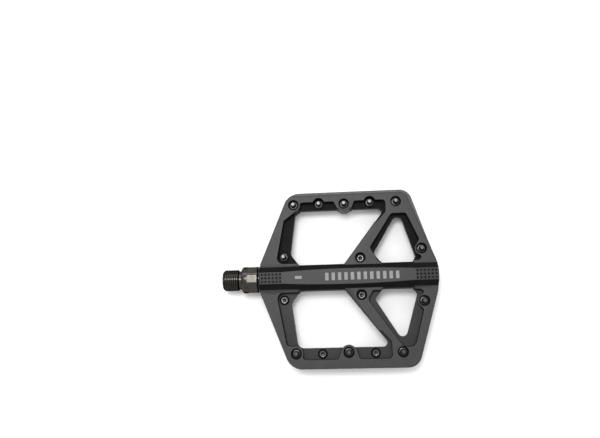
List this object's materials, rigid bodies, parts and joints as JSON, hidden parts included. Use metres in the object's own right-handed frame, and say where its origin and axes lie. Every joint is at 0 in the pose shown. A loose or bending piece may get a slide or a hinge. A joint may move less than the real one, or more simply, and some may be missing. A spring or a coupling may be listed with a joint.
{
  "type": "flat bicycle pedal",
  "caption": "Flat platform bicycle pedal: a ribbed nylon platform with steel traction pins that turns on a threaded steel spindle.",
  "frame": {"origin": "centre of the whole pedal's box, on the spindle line", "axes": "+X along the spindle from the crank end to the outer end, +Y towards the rail whose outer side slopes on the top face, +Z out of the top face"},
  "size_m": [0.1432, 0.119, 0.018],
  "materials": {
    "nylon": "fine-grained glass-filled nylon, charcoal black, satin",
    "spindle_steel": "turned chromium-molybdenum steel with a warm gunmetal black finish",
    "pin_steel": "dark steel pins, worn bright at the tips",
    "bearing_steel": "ground bearing steel",
    "bronze": "dull sintered bronze",
    "rubber": "black nitrile rubber"
  },
  "bodies": {
    "platform": {"platform": "nylon", "lip_seal": "rubber", "bush": "bronze", "end_cap": "nylon", "end_cap_ring": "rubber", "bearing_inner_outer_race": "bearing_steel", "bearing_inner_shield_a": "rubber", "bearing_inner_shield_b": "rubber", "bearing_outer_outer_race": "bearing_steel", "bearing_outer_shield_a": "rubber", "bearing_outer_shield_b": "rubber", "pin_a_1_up": "pin_steel", "pin_a_1_down": "pin_steel", "pin_a_2_up": "pin_steel", "pin_a_3_up": "pin_steel", "pin_a_3_down": "pin_steel", "pin_a_4_up": "pin_steel", "pin_a_5_up": "pin_steel", "pin_a_5_down": "pin_steel", "pin_a_inner_up": "pin_steel", "pin_a_brace_down": "pin_steel", "pin_a_outer_up": "pin_steel", "pin_a_outer_down": "pin_steel", "pin_b_1_up": "pin_steel", "pin_b_1_down": "pin_steel", "pin_b_2_down": "pin_steel", "pin_b_3_up": "pin_steel", "pin_b_3_down": "pin_steel", "pin_b_4_down": "pin_steel", "pin_b_5_up": "pin_steel", "pin_b_5_down": "pin_steel", "pin_b_inner_down": "pin_steel", "pin_b_brace_down": "pin_steel", "pin_b_outer_up": "pin_steel", "pin_b_outer_down": "pin_steel"},
    "spindle": {"spindle": "spindle_steel", "bearing_inner_inner_race": "bearing_steel", "bearing_outer_inner_race": "bearing_steel", "lock_washer": "bearing_steel", "lock_nut": "bearing_steel"},
    "inner_ball_cage": {"bearing_inner_ball_cage": "bearing_steel"},
    "outer_ball_cage": {"bearing_outer_ball_cage": "bearing_steel"}
  },
  "joints": [
    {"name": "spindle_spin", "type": "hinge", "parent": "platform", "child": "spindle", "pos_m": [0, 0, 0], "axis": [1, 0, 0], "continuous": true},
    {"name": "inner_cage_spin", "type": "hinge", "parent": "platform", "child": "inner_ball_cage", "pos_m": [0.0456, 0, 0], "axis": [1, 0, 0], "continuous": true},
    {"name": "outer_cage_spin", "type": "hinge", "parent": "platform", "child": "outer_ball_cage", "pos_m": [0.0509, 0, 0], "axis": [1, 0, 0], "continuous": true}
  ],
  "couplings": [
    {"joint": "inner_cage_spin", "follows": "spindle_spin", "ratio": 0.436},
    {"joint": "outer_cage_spin", "follows": "spindle_spin", "ratio": 0.436}
  ]
}
